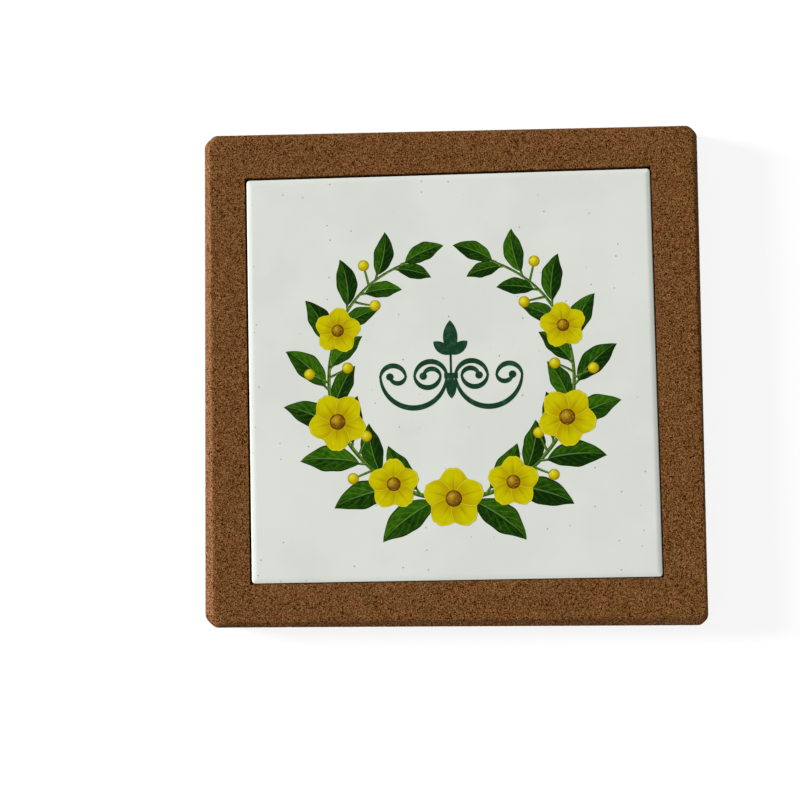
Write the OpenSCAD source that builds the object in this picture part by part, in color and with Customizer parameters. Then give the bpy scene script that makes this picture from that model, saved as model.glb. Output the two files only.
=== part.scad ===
// Square trivet: a glazed ceramic tile glued into a cork tray. The tray is a cork
// base sheet with a die-cut cork frame laminated on it. The tile's colours are fired
// into its glaze, flush with the face. Z is up, Y runs towards the top of the printed
// design, and the origin is on the table under the middle of the cork.

/* [Cork tray] */
// Width of the cork border between the tile's opening and the outer edge
border_w = 17; // [12:0.1:34]
// Upright radius of the cork's outer corners
cork_corner_r = 4.4; // [3.2:0.1:10]
// Thickness of the base sheet under the tile
base_t = 5.6; // [3:0.2:10]
// Width of the chamfer along the frame's top outer edge
top_chamfer = 2.4; // [0.6:0.1:3]
// Width of the chamfer along the base sheet's bottom outer edge
bottom_chamfer = 1; // [0.4:0.1:2]

/* [Tile] */
// Width of the square tile
tile_w = 152.4; // [140:0.2:156]
// Thickness of the tile, from the back of its ribs to its face
tile_t = 6; // [4.6:0.1:8]
// Upright radius of the tile's corners
tile_corner_r = 1.6; // [0.8:0.1:4]
// Width of the border where the face rolls down to the edge
roll_w = 2.2; // [1:0.1:4]
// Height that the face loses where it rolls down to the edge
roll_h = 0.7; // [0.3:0.1:0.9]
// Thickness of the glaze on the face
glaze_t = 0.4; // [0.25:0.05:0.6]
// Thickness of the glaze on the tile's sides
glaze_side_t = 0.25; // [0.15:0.05:0.5]
// How far the glaze reaches down the sides, from the face
glaze_reach = 2.4; // [1.6:0.1:3.2]
// Height of the ribs on the tile's back
rib_h = 0.8; // [0.4:0.1:1.2]
// Width of one back rib
rib_w = 6; // [3:0.5:8]
// Width of the groove between two back ribs
rib_gap_w = 6; // [4:0.5:9]
// Width of the border round the ribs on the tile's back
rib_border_w = 5; // [3:0.5:12]

/* [Fit of the tile in the frame] */
// Gap between the tile and the frame's opening, on each side
tile_gap = 0.6; // [0.4:0.05:1.2]
// How far the tile's face stands above the cork
tile_proud = 0.4; // [0:0.1:1]
// How far the tile sits off the opening's middle, towards the bottom
tile_drop = 0.35; // [0:0.05:0.35]
// How far the opening and the tile are turned in the cork, in degrees
opening_skew = 0.6; // [-1:0.1:1]
// How far the opening sits off the cork's middle, towards the left
opening_left = 0.25; // [0:0.05:0.5]
// How far the opening sits off the cork's middle, towards the top
opening_up = 0.25; // [0:0.05:0.5]

/* [Glue] */
// Thickness of the glue film between the base sheet and the frame
film_t = 0.15; // [0.1:0.05:0.3]
// How far the glue film stops short of the cork's edges
film_inset = 0.5; // [0.3:0.1:2]
// Diameter of an adhesive dab under the tile
dab_d = 26; // [16:1:34]
// Thickness of the dabs under the tile's ribs
dab_t = 0.6; // [0.4:0.1:1]
// Width left free between the tile's edge and a corner dab
dab_border_w = 17; // [8:1:30]

/* [Fired colours] */
// Depth of the colours in the glaze
colour_t = 0.12; // [0.08:0.02:0.2]
// Radius of the wreath's main stem
wreath_r = 46; // [42:0.5:48]
// Width of the main stem's line
stem_w = 1.5; // [1:0.1:2.2]
// Width of the line of a leaf's or a berry's stalk
stalk_w = 0.9; // [0.6:0.1:1.4]
// Angle left open at the wreath's top, in degrees
wreath_gap = 46; // [36:2:70]
// Number of outer leaves, and of inner ones, on each side of the wreath
leaf_count = 8; // [6:1:9]
// Length of the largest leaf
leaf_len = 25; // [20:0.5:26]
// Width of the largest leaf
leaf_w = 11; // [8:0.5:12]
// Length of the largest leaf's stalk
stalk_len = 2.6; // [1.5:0.1:4]
// Angle between a leaf and the stem that it grows from, in degrees
leaf_lean = 42; // [34:1:50]
// Radius of one petal of the largest blossom
petal_r = 5.2; // [4:0.1:6]
// Distance from the largest blossom's middle to the middle of a petal
petal_reach = 6.6; // [5.5:0.1:7.5]
// Radius of the eye in the largest blossom
eye_r = 3.1; // [2:0.1:4]
// Radius of a berry
berry_r = 2.1; // [1.5:0.1:2.6]
// Distance from the main stem to the middle of a berry
berry_reach = 8; // [6:0.5:10]
// Width of the ornament in the wreath's middle
ornament_w = 54; // [44:1:58]
// Width of the ornament's line where its arcs meet
line_thin = 0.8; // [0.6:0.1:1.2]
// How much wider the line grows in the middle of an arc
line_swell = 1.3; // [0.4:0.1:1.8]
// Radius of the dot at the end of a line
line_dot_r = 1.4; // [1:0.1:1.8]

/* [Hidden] */
$fn = 64;

// Overrun of a cut past the face that it opens
cut = 1;

// Heights, built up from the table
frame_t = dab_t + tile_t - tile_proud - film_t;
frame_z = base_t + film_t;
tile_z = base_t + dab_t;
face_z = tile_z + tile_t;

// Widths, built outwards from the tile
opening_w = tile_w + 2 * tile_gap;
cork_w = opening_w + 2 * border_w;

// Radius of the arc that takes the tile's face down to its edge
roll_r = (roll_w * roll_w + roll_h * roll_h) / (2 * roll_h);

petal_count = 5;
dab_side = tile_w / 2 - dab_border_w - dab_d / 2;

// Where the blossoms sit on a side of the wreath, as shares of its length, and their
// sizes as shares of the largest one
blossom_place_shares = [0.185, 0.44, 0.72];
blossom_size_shares = [0.84, 0.96, 0.76];
blossom_turn_share = 0.31;

// How the leaves grow smaller towards the wreath's ends, how much smaller the inner
// ones are, and how far a leaf bends out of line
leaf_taper_share = 0.36;
inner_leaf_share = 0.82;
bend_share = 0.16;

// Where the leaves grow on each side of the stem, as shares of the step between two
outer_step_share = 0.3;
inner_step_share = 0.8;

// Where the berries grow, as shares of a side's length, and how far their stalks lean,
// as a share of a leaf's lean
outer_berry_shares = [0.26, 0.56, 0.885];
inner_berry_shares = [0.32, 0.575, 0.82];
berry_lean_share = 1.5;

// Radii of the half rings that make the ornament's lines, from the middle outwards, and
// the sizes of its other pieces, length or width first, all as shares of its width
upper_arc_shares = [0.112, 0.09, 0.06];
lower_arc_shares = [0.231, 0.088, 0.055];
line_gap_share = 0.03;
collar_shares = [0.095, 0.04];
drop_shares = [0.16, 0.07];
top_leaf_shares = [0.24, 0.1];
side_leaf_shares = [0.15, 0.075];
sprig_base_share = 0.035;

// Radius of the dot that joins two half rings, as a share of the line's width there
joint_dot_share = 0.62;

// Angle between the ornament's top leaf and the leaves beside it, in degrees
sprig_lean = 52;

// A square slab with upright corner radii and a chamfer along its top outer edge,
// made of two crossing bars and four turned corners
module chamfered_slab(w, corner_r, h, chamfer) {
    run = w - 2 * corner_r;
    for (turn = [0, 90])
        rotate([90, 0, turn])
            translate([0, 0, -run / 2])
                linear_extrude(run) chamfered_section(w, h, chamfer);
    for (x = [-1, 1], y = [-1, 1])
        translate([x * run / 2, y * run / 2, 0])
            rotate_extrude()
                intersection() {
                    chamfered_section(2 * corner_r, h, chamfer);
                    square([corner_r, h]);
                }
}

// Upright section of such a slab: a rectangle with its top corners cut off
module chamfered_section(w, h, chamfer) {
    polygon([[-w / 2, 0],
             [w / 2, 0],
             [w / 2, h - chamfer],
             [w / 2 - chamfer, h],
             [chamfer - w / 2, h],
             [-w / 2, h - chamfer]]);
}

// Plan of a square with round corners
module rounded_square(w, corner_r) {
    run = w - 2 * corner_r;
    square([run, w], center = true);
    square([w, run], center = true);
    for (x = [-1, 1], y = [-1, 1])
        translate([x * run / 2, y * run / 2]) circle(corner_r);
}

// Places its children in the opening, which is turned and shifted a little in the cork
module in_opening() {
    translate([-opening_left, opening_up, 0]) rotate(opening_skew) children();
}

// Places its children where the tile lies in the opening
module on_tile() {
    in_opening() translate([0, -tile_drop, 0]) children();
}

// The base sheet that the whole trivet stands on
module cork_base() {
    color("#6f4a2a")
        translate([0, 0, base_t])
            mirror([0, 0, 1])
                chamfered_slab(cork_w, cork_corner_r, base_t, bottom_chamfer);
}

// The die-cut ring round the tile
module cork_frame() {
    color("#6c4727")
        difference() {
            translate([0, 0, frame_z])
                chamfered_slab(cork_w, cork_corner_r, frame_t, top_chamfer);
            in_opening()
                translate([-opening_w / 2, -opening_w / 2, frame_z - cut])
                    cube([opening_w, opening_w, frame_t + 2 * cut]);
        }
}

// The glue film that laminates the frame to the base sheet
module laminating_glue() {
    inner_w = opening_w + 2 * film_inset;
    color("#c9b48a")
        translate([0, 0, base_t])
            linear_extrude(film_t)
                difference() {
                    rounded_square(cork_w - 2 * film_inset, cork_corner_r - film_inset);
                    in_opening() square(inner_w, center = true);
                }
}

// Adhesive dabs between the base sheet and the tile, pressed up between the ribs
module tile_adhesive() {
    color("#e4e0d4")
        on_tile()
            difference() {
                union() {
                    translate([0, 0, base_t]) cylinder(d = dab_d, h = dab_t + rib_h);
                    for (x = [-1, 1], y = [-1, 1])
                        translate([x * dab_side, y * dab_side, base_t])
                            cylinder(d = dab_d, h = dab_t + rib_h);
                }
                back_ribs(rib_h + cut);
            }
}

// The ribs on the tile's back, or the cut that they need, of the given height
module back_ribs(h) {
    rib_run = tile_w - 2 * rib_border_w;
    rib_pitch = rib_w + rib_gap_w;
    per_side = floor((rib_run - rib_w) / 2 / rib_pitch);
    for (k = [-per_side:per_side])
        translate([-rib_run / 2, k * rib_pitch - rib_w / 2, tile_z])
            cube([rib_run, rib_w, h]);
}

// A tile shape whose face rolls down to its edges, from the height low to the height
// high, with each side brought in by inset
module tile_shape(low, high, inset) {
    w = tile_w - 2 * inset;
    intersection() {
        for (turn = [0, 90])
            rotate([90, 0, turn])
                translate([0, 0, -tile_w / 2])
                    linear_extrude(tile_w) rolled_section(w, low, high);
        translate([0, 0, low]) linear_extrude(high - low) rounded_square(w, tile_corner_r);
    }
}

// Upright section of a tile: a rectangle whose top rolls down at both ends
module rolled_section(w, low, high) {
    intersection() {
        translate([-w / 2, low]) square([w, high - low]);
        union() {
            translate([roll_w - w / 2, low]) square([w - 2 * roll_w, high - low]);
            translate([-w / 2, low - roll_r]) square([w, high - low]);
            for (side = [-1, 1])
                translate([side * (w / 2 - roll_w), high - roll_r]) circle(roll_r);
        }
    }
}

// The fired clay body under the glaze
module tile_body() {
    color("#e8dcc8")
        on_tile() {
            tile_shape(tile_z + rib_h, face_z - glaze_t, glaze_side_t);
            back_ribs(rib_h);
        }
}

// The white glaze over the face and the top of the sides, with the colours' places
module tile_glaze() {
    color("#dadedb")
        on_tile()
            difference() {
                tile_shape(face_z - glaze_reach, face_z, 0);
                tile_shape(face_z - glaze_reach - cut, face_z - glaze_t, glaze_side_t);
                translate([0, 0, face_z - colour_t])
                    linear_extrude(colour_t + cut) {
                        leaves();
                        stems();
                        berry_stalks();
                        petals();
                        ornament();
                    }
            }
}

// A printed colour of the given plan, level with the tile's face
module fired(shade) {
    color(shade)
        on_tile()
            translate([0, 0, face_z - colour_t])
                linear_extrude(colour_t) children();
}

// The angle round the wreath, and the point there, at share t of a side's length
function wreath_angle(t) = -90 + t * (180 - wreath_gap / 2);
function wreath_point(t) = wreath_r * [cos(wreath_angle(t)), sin(wreath_angle(t))];

// Size of the leaves at share t, as a share of the largest
function leaf_size(t) = 1 - leaf_taper_share * t;

// Repeats its children on both sides of the wreath
module both_sides() {
    children();
    mirror([1, 0]) children();
}

// Places its children on a side of the wreath at share t, with X along the stem and
// then turned by lean degrees
module on_stem(t, lean) {
    translate(wreath_point(t)) rotate(wreath_angle(t) + 90 + lean) children();
}

// Calls its children at each leaf of a side, with the leaf's size share as $size and
// the side of the stem that it grows on as $out, 1 inside and -1 outside
module at_leaves() {
    for (k = [0:leaf_count - 1], side = [-1, 1]) {
        t = (k + (side > 0 ? inner_step_share : outer_step_share)) / leaf_count;
        $size = leaf_size(t) * (side > 0 ? inner_leaf_share : 1);
        $out = side;
        on_stem(t, side * leaf_lean) children();
    }
    $size = leaf_size(1);
    $out = 1;
    on_stem(1, 0) children();
}

// A leaf from the origin along X: the overlap of two discs, one rounder than the other
module leaf(len, wid, bend) {
    intersection_for (side = [-1, 1]) {
        rise = wid / 2 + side * bend;
        disc_r = (len * len / 4 + rise * rise) / (2 * rise);
        translate([len / 2, side * (rise - disc_r)]) circle(disc_r);
    }
}

// All the leaves of the wreath, each at the end of its stalk
module leaves() {
    both_sides()
        at_leaves()
            translate([stalk_len * $size, 0])
                leaf(leaf_len * $size, leaf_w * $size, -$out * bend_share * leaf_w * $size);
}

// A stalk's line from the origin along X
module stalk(len) {
    translate([0, -stalk_w / 2]) square([len, stalk_w]);
}

// The wreath's main stem, open at the top, and the stalks of its leaves
module stems() {
    reach = 2 * wreath_r;
    difference() {
        circle(wreath_r + stem_w / 2);
        circle(wreath_r - stem_w / 2);
        polygon([[0, 0],
                 reach * [sin(wreath_gap / 2), cos(wreath_gap / 2)],
                 [0, reach],
                 reach * [-sin(wreath_gap / 2), cos(wreath_gap / 2)]]);
    }
    both_sides() at_leaves() stalk((stalk_len + leaf_w / 2) * $size);
}

// The stalks of the berries, which pass in front of the leaves
module berry_stalks() {
    both_sides() at_berries() stalk(berry_reach);
}

// Calls its children on the main stem at each berry of a side, with X towards it
module at_berries() {
    for (t = outer_berry_shares) on_stem(t, -leaf_lean * berry_lean_share) children();
    for (t = inner_berry_shares) on_stem(t, leaf_lean * berry_lean_share) children();
}

// Places its children at each blossom with the blossom's size share as $size
module at_blossoms() {
    translate([0, -wreath_r]) {
        $size = 1;
        children();
    }
    both_sides()
        for (k = [0:len(blossom_place_shares) - 1])
            translate(wreath_point(blossom_place_shares[k])) {
                $size = blossom_size_shares[k];
                rotate(k * blossom_turn_share * 360) children();
            }
}

// The petals of every blossom, and the berries
module petals() {
    at_blossoms() {
        circle(petal_reach * $size);
        for (k = [0:petal_count - 1])
            rotate(90 + k * 360 / petal_count)
                translate([petal_reach * $size, 0]) circle(petal_r * $size);
    }
    both_sides() at_berries() translate([berry_reach, 0]) circle(berry_r);
}

// The eye of every blossom
module eyes() {
    at_blossoms() circle(eye_r * $size);
}

// Where joint k of a line of half rings lies on X, with the line's radii in a list
function joint_x(radii, k) =
    k == 0 ? 0 : joint_x(radii, k - 1) + 2 * radii[k - 1] * (k % 2 == 1 ? 1 : -1);

// A half ring above the X axis whose line is thin at both ends and swells between
module half_ring(ring_r) {
    outer_r = ring_r + line_thin / 2;
    inner_r = sqrt(pow(ring_r - line_thin / 2, 2) + pow(line_swell, 2));
    difference() {
        intersection() {
            circle(outer_r);
            translate([-outer_r, 0]) square([2 * outer_r, outer_r]);
        }
        translate([0, -line_swell]) circle(inner_r);
    }
}

// A line of half rings that curls up from the origin, on alternate sides of the X axis,
// and ends in a dot
module curl(radii) {
    for (k = [0:len(radii) - 1]) {
        translate([(joint_x(radii, k) + joint_x(radii, k + 1)) / 2, 0])
            mirror([0, k % 2]) half_ring(radii[k]);
        translate([joint_x(radii, k), 0]) circle(line_thin * joint_dot_share);
    }
    translate([joint_x(radii, len(radii)), 0]) circle(line_dot_r);
}

// The ornament in the wreath's middle: two curls on each side, bound by a collar, with a
// sprig of leaves above them and a drop below
module ornament() {
    sprig_y = (upper_arc_shares[0] + sprig_base_share) * ornament_w;
    both_sides()
        translate([line_gap_share * ornament_w, 0]) {
            curl(upper_arc_shares * ornament_w);
            mirror([0, 1]) curl(lower_arc_shares * ornament_w);
        }
    square(collar_shares * ornament_w, center = true);
    translate([-line_thin / 2, 0]) square([line_thin, sprig_y + line_thin]);
    rotate(-90) leaf_of(drop_shares);
    translate([0, sprig_y]) {
        rotate(90) leaf_of(top_leaf_shares);
        both_sides() rotate(90 - sprig_lean) leaf_of(side_leaf_shares);
    }
}

// A leaf of the ornament from the origin along X, of the given shares
module leaf_of(shares) {
    leaf(shares[0] * ornament_w, shares[1] * ornament_w, 0);
}

module leaf_print() {
    fired("#2f6b1c") difference() {
        leaves();
        berry_stalks();
        petals();
    }
}

module stem_print() {
    fired("#3f7a2a") difference() {
        union() {
            berry_stalks();
            difference() {
                stems();
                leaves();
            }
        }
        petals();
    }
}

module petal_print() {
    fired("#d8c400") difference() {
        petals();
        eyes();
    }
}

module eye_print() {
    fired("#8a6a10") eyes();
}

module ornament_print() {
    fired("#1f4a32") ornament();
}

cork_base();
cork_frame();
laminating_glue();
tile_adhesive();
tile_body();
tile_glaze();
leaf_print();
stem_print();
petal_print();
eye_print();
ornament_print();
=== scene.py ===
"""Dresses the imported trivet: a glazed tile with a painted wreath, set in a cork tray.

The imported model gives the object's place and size in metres. The lengths below are in
millimetres, the unit that the trivet is made to, and a mesh is brought to metres when it
is stored. Heights are counted from the table. A Span holds the two values between which
something rises or falls.
"""

from __future__ import annotations

import logging
import math
from dataclasses import dataclass, field
from enum import Enum
from functools import partial
from typing import Callable, Iterator, Sequence, Union

import bmesh
import bpy
from bmesh.types import BMesh, BMVert
from bpy.types import Material, Node, NodeSocket, NodeTree, Object
from mathutils import Matrix, Vector, noise

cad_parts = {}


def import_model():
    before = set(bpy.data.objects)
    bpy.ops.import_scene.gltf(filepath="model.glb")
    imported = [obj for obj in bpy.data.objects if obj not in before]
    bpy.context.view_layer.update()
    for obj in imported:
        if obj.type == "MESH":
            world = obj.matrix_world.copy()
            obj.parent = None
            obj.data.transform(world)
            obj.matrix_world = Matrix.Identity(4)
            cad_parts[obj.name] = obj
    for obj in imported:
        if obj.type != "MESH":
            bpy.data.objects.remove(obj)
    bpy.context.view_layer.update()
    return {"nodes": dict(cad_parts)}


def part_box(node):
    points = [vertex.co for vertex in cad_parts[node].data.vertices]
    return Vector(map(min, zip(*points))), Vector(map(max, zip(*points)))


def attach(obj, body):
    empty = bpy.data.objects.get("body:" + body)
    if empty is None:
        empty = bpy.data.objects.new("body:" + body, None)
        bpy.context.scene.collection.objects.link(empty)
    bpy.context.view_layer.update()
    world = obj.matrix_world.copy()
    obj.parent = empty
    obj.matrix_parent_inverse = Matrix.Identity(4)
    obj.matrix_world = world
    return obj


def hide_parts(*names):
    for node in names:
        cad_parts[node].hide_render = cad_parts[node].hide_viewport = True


LOG = logging.getLogger("trivet")
MM = 0.001
BODY = "root"
WHITE = (1.0, 1.0, 1.0, 1.0)

Color = tuple[float, float, float, float]
Stops = tuple[tuple[float, Color], ...]
Span = tuple[float, float]
Grid = tuple[int, int]
Outline = Callable[[float, float], Vector]
Value = Union["Wire", float, Sequence[float]]
Inputs = dict[Union[int, str], Value]


def srgb(red: int, green: int, blue: int) -> Color:
    """Turn a display colour into the linear one that a shader takes, by the sRGB rule.

    Args:
        red: Red, from 0 to 255.
        green: Green, from 0 to 255.
        blue: Blue, from 0 to 255.

    Returns:
        The colour with full opacity.
    """
    linear = []
    for part in (red, green, blue):
        share = part / 255
        if share <= 0.04045:
            linear.append(share / 12.92)
        else:
            linear.append(((share + 0.055) / 1.055) ** 2.4)
    return (*linear, 1.0)


def smooth_step(span: Span, value: float) -> float:
    """Ease from 0 to 1 while a value goes through a span.

    Args:
        span: Where the rise starts and ends. It may run downwards.
        value: The place to read.

    Returns:
        The eased share.
    """
    low, high = span
    share = min(1.0, max(0.0, (value - low) / (high - low)))
    return share * share * (3 - 2 * share)


class Series(Enum):
    """The series of random shares, one for each use."""

    LEAF = 0
    STALK = 1
    BERRY = 2
    SAG = 3
    PETAL = 5
    EYE = 6


def scatter(index: int, series: Series) -> float:
    """Give a counted piece a share from 0 to 1 that looks random, by a folded sine."""
    wave = math.sin(index * 12.9898 + series.value * 78.233 + 1.37) * 43758.5453
    return wave - math.floor(wave)


@dataclass(frozen=True)
class Wire:
    """A node's output, which plain arithmetic carries on into further nodes."""

    graph: Graph
    socket: NodeSocket

    def __add__(self, other: Value) -> Wire:
        """Add a number."""
        return self.graph.math("ADD", self, other)

    def __sub__(self, other: Value) -> Wire:
        """Take a number away."""
        return self.graph.math("SUBTRACT", self, other)

    def __rsub__(self, other: Value) -> Wire:
        """Take this away from a number."""
        return self.graph.math("SUBTRACT", other, self)

    def __mul__(self, other: Value) -> Wire:
        """Multiply by a number."""
        return self.graph.math("MULTIPLY", self, other)

    def __lt__(self, other: Value) -> Wire:
        """Give 1 where this is less than a number, and 0 elsewhere."""
        return self.graph.math("LESS_THAN", self, other)

    def __abs__(self) -> Wire:
        """Drop the sign."""
        return self.graph.math("ABSOLUTE", self)

    def larger(self, other: Value) -> Wire:
        """Take the larger of this and a number."""
        return self.graph.math("MAXIMUM", self, other)

    def rise(self, span: Span, top: float = 1.0) -> Wire:
        """Ease from 0 to a top while this goes through a span."""
        return self.graph.eased(self, span, 0.0, top)

    def fall(self, span: Span, top: float = 1.0) -> Wire:
        """Ease from a top to 0 while this goes through a span."""
        return self.graph.eased(self, span, top, 0.0)


class Graph:
    """A node tree, with short calls for its nodes."""

    def __init__(self, tree: NodeTree, output: str) -> None:
        """Empty a tree and add its output.

        Args:
            tree: The tree.
            output: The output's type, without its usual prefix.
        """
        self.tree = tree
        self.tree.nodes.clear()
        self.output = self.node(output)

    def feed(self, socket: NodeSocket, value: Value) -> None:
        """Link a value that comes from a node, or set a plain one.

        Args:
            socket: The input to fill.
            value: A wire, a number or a row of numbers.
        """
        if isinstance(value, Wire):
            self.tree.links.new(value.socket, socket)
        else:
            socket.default_value = value

    def show(self, shader: Wire) -> None:
        """Make a shader the one that is rendered."""
        self.feed(self.output.inputs["Surface"], shader)

    def node(self, kind: str, inputs: Inputs | None = None, **settings: object) -> Node:
        """Add a node.

        Args:
            kind: The node's type, without its usual prefix.
            inputs: Values for its inputs, by their place or name.
            **settings: Properties of the node and their values.

        Returns:
            The new node.
        """
        made = self.tree.nodes.new("ShaderNode" + kind)
        for key, value in settings.items():
            setattr(made, key, value)
        for key, value in (inputs or {}).items():
            self.feed(made.inputs[key], value)
        return made

    def wire(self, kind: str, inputs: Inputs | None = None, output: int | str = 0,
             **settings: object) -> Wire:
        """Add a node as above, and take one of its outputs by its place or name."""
        return Wire(self, self.node(kind, inputs, **settings).outputs[output])

    def math(self, operation: str, *values: Value) -> Wire:
        """Work out a number from others with a named operation."""
        return self.wire("Math", dict(enumerate(values)), operation=operation)

    def eased(self, value: Wire, span: Span, start: float, end: float) -> Wire:
        """Ease from a start to an end while a value goes through a span."""
        return self.wire("MapRange", {0: value, 1: span[0], 2: span[1], 3: start, 4: end},
                         interpolation_type="SMOOTHSTEP")

    def seen_ray(self) -> Wire:
        """Make a switch that is 1 where a ray shows the background.

        Returns:
            The switch, which is 0 for every other ray.
        """
        path = self.node("LightPath").outputs
        switch = Wire(self, path["Is Camera Ray"])
        for name in ("Is Glossy Ray", "Is Transmission Ray"):
            switch = switch.larger(Wire(self, path[name]))
        return switch


class Shade(Graph):
    """A material round one Principled shader, with short calls for its patterns."""

    def __init__(self, name: str, roughness: float, specular: float) -> None:
        """Start a material.

        Args:
            name: The material's name.
            roughness: The shader's roughness.
            specular: The shader's specular level.
        """
        self.material: Material = bpy.data.materials.new(name)
        self.material.use_nodes = True
        super().__init__(self.material.node_tree, "OutputMaterial")
        self.shader = self.node("BsdfPrincipled", {
            "Roughness": roughness, "Specular IOR Level": specular})
        self.show(Wire(self, self.shader.outputs["BSDF"]))

    def put(self, name: str, value: Value) -> None:
        """Fill an input of the shader by its name."""
        self.feed(self.shader.inputs[name], value)

    def place(self) -> Wire:
        """Read the place on the object, in millimetres."""
        metres = self.wire("TexCoord", output="Object")
        return self.wire("VectorMath", {0: metres, "Scale": 1 / MM}, operation="SCALE")

    def flat_map(self) -> tuple[Wire, Wire]:
        """Read the piece's own map: the share along it, then the share across it."""
        split = self.node("SeparateXYZ", {0: self.wire("TexCoord", output="UV")}).outputs
        return Wire(self, split[0]), Wire(self, split[1])

    def attribute(self, name: str) -> Wire:
        """Read a number that the mesh carries."""
        return self.wire("Attribute", output="Fac", attribute_name=name)

    def length(self, x: Wire, y: Wire) -> Wire:
        """Work out how far a flat place is from the middle."""
        return self.math("SQRT", x * x + y * y)

    def mix(self, share: Value, under: Value, over: Value, blend: str = "MIX") -> Wire:
        """Lay a share of one colour over another."""
        # The colour sockets are taken by place, because others have the same names.
        return self.wire("Mix", {0: share, 6: under, 7: over}, output=2,
                         data_type="RGBA", blend_type=blend)

    def ramp(self, share: Value, stops: Stops) -> Wire:
        """Pick a colour from a row of them.

        Args:
            share: Where to read the row, from 0 to 1.
            stops: Each colour and its place.

        Returns:
            The colour there.
        """
        made = self.node("ValToRGB", {0: share})
        row = made.color_ramp.elements
        while len(row) < len(stops):
            row.new(1.0)
        for element, (place, color) in zip(row, stops):
            element.position = place
            element.color = color
        return Wire(self, made.outputs[0])

    def clouds(self, place: Value, grain: float, detail: float = 2.0,
               rough: float = 0.5) -> Wire:
        """Read a soft random pattern round a half, with features of a grain's size."""
        return self.wire("TexNoise", {"Vector": place, "Scale": 1 / grain,
                                      "Detail": detail, "Roughness": rough})

    def granules(self, place: Value, grain: float,
                 dimensions: str = "3D") -> tuple[Wire, Wire]:
        """Read a pattern of close cells.

        Args:
            place: Where to read it.
            grain: The size of a cell, in the unit of the place.
            dimensions: Of the pattern. One in 2D is the same at every height.

        Returns:
            The distance from the cell's middle, in grains, and a random share for it.
        """
        cells = self.node("TexVoronoi", {"Vector": place, "Scale": 1 / grain},
                          voronoi_dimensions=dimensions)
        split = self.wire("SeparateColor", {0: Wire(self, cells.outputs["Color"])})
        return Wire(self, cells.outputs["Distance"]), split

    def seams(self, place: Value, grain: float) -> Wire:
        """Read the distance to the nearest seam between close cells, in grains."""
        return self.wire("TexVoronoi", {"Vector": place, "Scale": 1 / grain},
                         output="Distance", feature="DISTANCE_TO_EDGE")

    def relief(self, height: Value, depth: float, under: Wire | None = None) -> Wire:
        """Turn a height into a bump.

        Args:
            height: The height, from 0 to 1.
            depth: What a height of 1 stands for, in millimetres.
            under: A bump that this one lies on.

        Returns:
            The bumped normal.
        """
        inputs = {"Distance": depth * MM, "Height": height}
        if under is not None:
            inputs["Normal"] = under
        return self.wire("Bump", inputs)


@dataclass(frozen=True)
class CorkFinish:
    """Pressed cork: close brown grains under 0.5 mm across, with larger dark specks."""

    tones: Stops = (
        (0.09, srgb(36, 9, 0)), (0.3, srgb(80, 43, 8)), (0.49, srgb(110, 72, 29)),
        (0.7, srgb(138, 101, 61)), (0.98, srgb(172, 135, 100)))
    grain: float = 0.3
    fine_grain: float = 0.19
    fine_share: float = 0.4
    blotch: float = 7.0
    blotch_share: float = 0.1
    patch: float = 6.5
    patch_edge: Span = (0.4, 0.6)
    red_cast: Color = (0.985, 0.855, 0.77, 1.0)
    olive_cast: Color = (0.945, 0.885, 0.745, 1.0)
    seam: Color = srgb(36, 9, 0)
    seam_edge: Span = (0.0, 0.09)
    seam_share: float = 0.4
    speck: Color = srgb(42, 11, 0)
    speck_grain: float = 0.85
    speck_pick: Span = (0.5, 1.0)
    speck_r: float = 0.42
    speck_share: float = 0.92
    granule_depth: float = 0.05
    fine_relief: float = 0.4
    roughness: float = 0.5
    sheen: float = 0.07
    sheen_tones: Span = (0.12, 0.46)
    sheen_turn: Span = (0.35, 0.65)

    def material(self) -> Material:
        """Build the cork's material.

        Its sheen lies on the pale grains and is lost where the cork is seen edge on.

        Returns:
            The material.
        """
        shade = Shade("pressed_cork", self.roughness, 0.0)
        place = shade.place()
        distance, tone = shade.granules(place, self.grain)
        fine_distance, fine_tone = shade.granules(place, self.fine_grain)
        blotch = shade.clouds(place, self.blotch, detail=3.0) - 0.5
        lot = (fine_tone * self.fine_share + tone * (1 - self.fine_share)
               + blotch * self.blotch_share)
        cast = shade.clouds(place, self.patch).rise(self.patch_edge)
        color = shade.mix(1.0, shade.ramp(lot, self.tones), shade.mix(
            cast, self.red_cast, self.olive_cast), "MULTIPLY")
        seam = shade.seams(place, self.grain).fall(self.seam_edge, self.seam_share)
        color = shade.mix(seam, color, self.seam)
        speck_distance, speck_tone = shade.granules(place, self.speck_grain)
        speck = speck_distance < speck_tone.rise(self.speck_pick) * self.speck_r
        speck = speck * self.speck_share
        shade.put("Base Color", shade.mix(speck, color, self.speck))
        facing = shade.wire("LayerWeight", output="Facing")
        sheen = lot.rise(self.sheen_tones) * facing.fall(self.sheen_turn, self.sheen)
        shade.put("Specular IOR Level", sheen * (1 - speck))
        height = 1 - distance - fine_distance * self.fine_relief
        shade.put("Normal", shade.relief(height, self.granule_depth))
        return shade.material


@dataclass(frozen=True)
class GlazeSurface:
    """What all the fired pieces share: the gloss and the slow waves of the glaze."""

    roughness: float = 0.24
    specular: float = 0.035
    wave: float = 16.0
    wave_depth: float = 0.02
    peel: float = 1.3
    peel_depth: float = 0.0008

    def start(self, name: str) -> Shade:
        """Start a fired material.

        Args:
            name: The material's name.

        Returns:
            The material with its gloss and waves, and no colour yet.
        """
        shade = Shade(name, self.roughness, self.specular)
        place = shade.place()
        waves = shade.relief(shade.clouds(place, self.wave, detail=1.0), self.wave_depth)
        shade.put("Normal", shade.relief(
            shade.clouds(place, self.peel, detail=1.0), self.peel_depth, under=waves))
        return shade


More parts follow.
